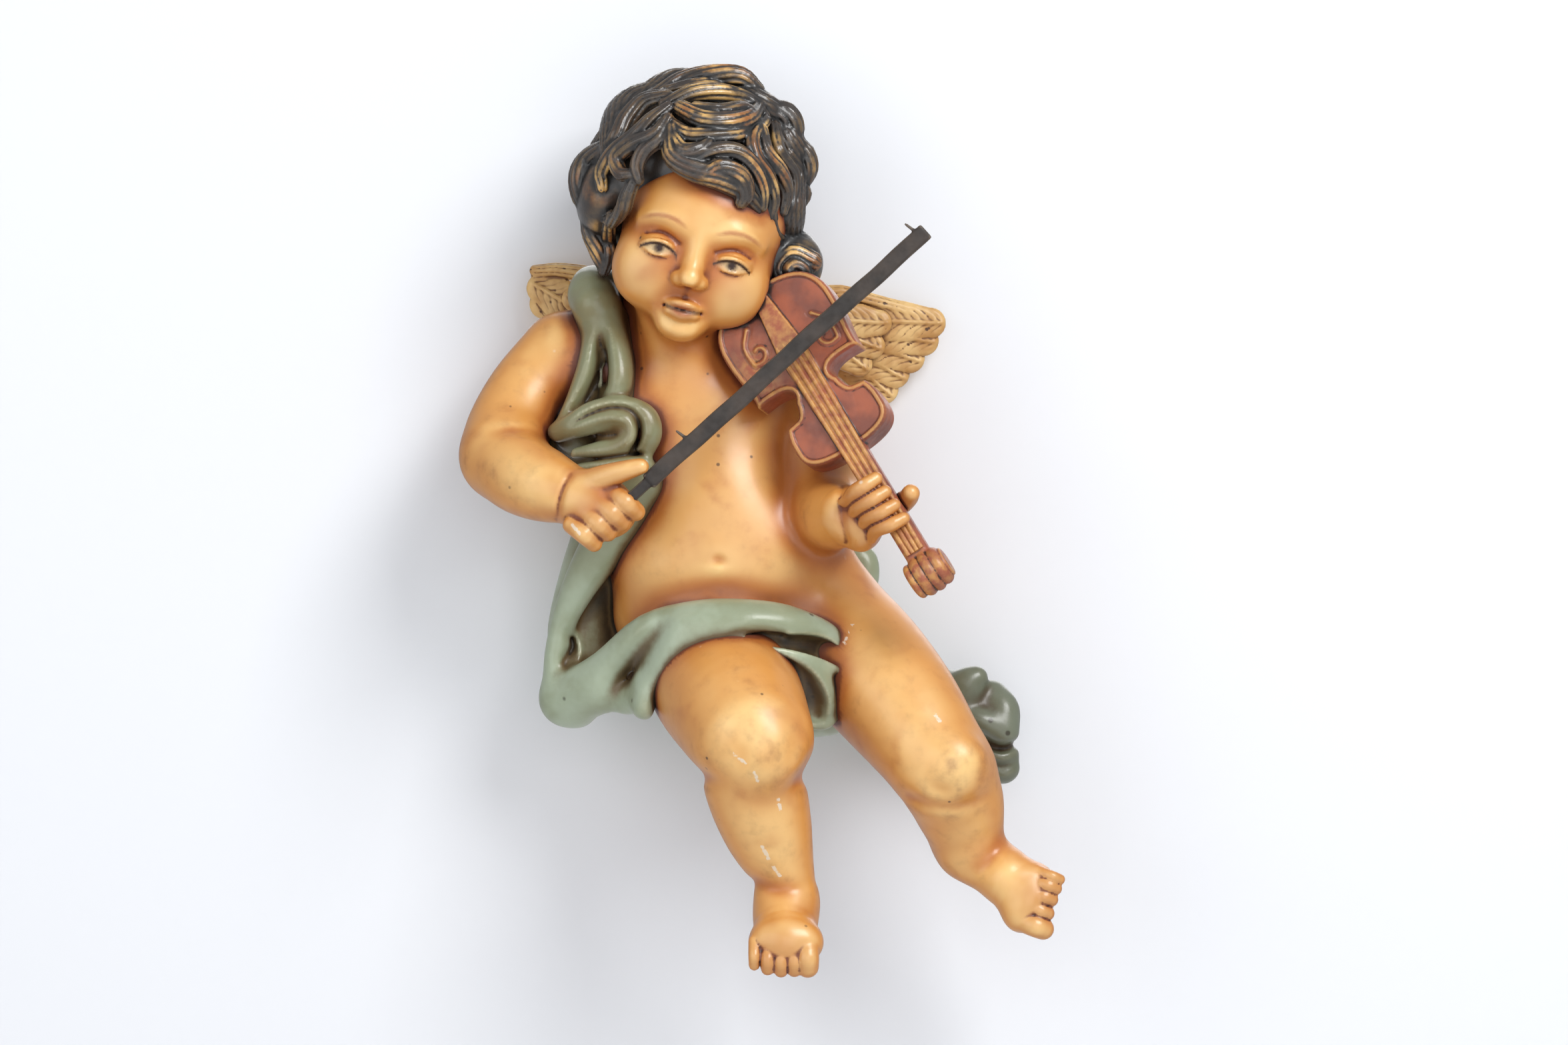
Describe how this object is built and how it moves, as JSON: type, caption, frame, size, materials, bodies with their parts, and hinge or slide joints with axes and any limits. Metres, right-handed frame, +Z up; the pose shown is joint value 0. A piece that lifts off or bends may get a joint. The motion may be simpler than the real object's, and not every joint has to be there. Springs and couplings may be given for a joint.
{
  "type": "winged cherub wall sculpture",
  "caption": "Painted wall sculpture of a winged cherub playing a violin, with curly hair and draped cloth, made to hang flat on a wall.",
  "frame": {"origin": "on the flat back of the figure, where the wall touches it, 0.29 m above the lowest toe and 0.04 m below the hanging hole", "axes": "+Z up, along the figure's height; +Y into the wall, out of the flat back; +X to the viewer's right"},
  "size_m": [0.3329, 0.1845, 0.4996],
  "materials": {
    "skin": "honey ochre paint with red-brown wash in the creases, satin varnish",
    "hair": "charcoal brown paint with rubbed gold on the raised strands, half gloss",
    "drapery": "sage green paint with umber wash in the folds, satin varnish",
    "violin": "brick red-brown paint worn to ochre on the rims and strings, satin varnish",
    "bow": "dark charcoal paint with lighter worn edges, matt",
    "wings": "tan ochre paint with brown wash between the barbs, satin varnish"
  },
  "bodies": {
    "root": {"figure": "skin", "violin": "violin", "bow": "bow", "wing_left": "wings", "wing_right": "wings"}
  },
  "joints": []
}
